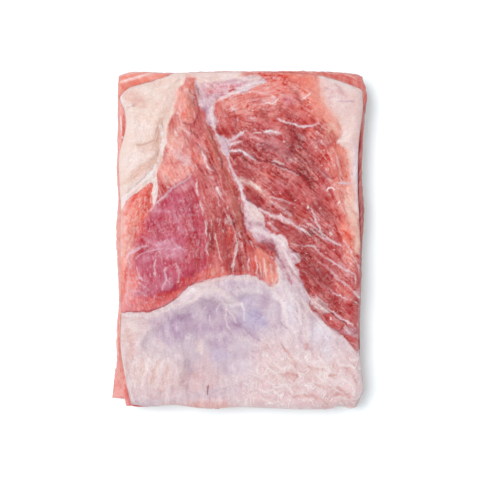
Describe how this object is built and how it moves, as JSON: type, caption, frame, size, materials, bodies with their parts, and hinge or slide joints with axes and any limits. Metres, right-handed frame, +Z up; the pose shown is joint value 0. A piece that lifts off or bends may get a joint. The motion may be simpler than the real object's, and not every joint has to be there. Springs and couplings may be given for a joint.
{
  "type": "salt pork",
  "caption": "Thick oblong slab of salt pork lying rind down, with muscles, fat pads and a membrane on its face and layers of fat and lean at its sides.",
  "frame": {"origin": "on the flat rind that the slab rests on, under the middle of its box", "axes": "+X across the slab's width, +Y along its length towards the end with the fat pads, +Z up through its thickness to the meat face"},
  "size_m": [0.1882, 0.2506, 0.0425],
  "materials": {
    "pork": "moist raw meat and fat, satin"
  },
  "bodies": {
    "root": {"pork_slab": "pork"}
  },
  "joints": []
}
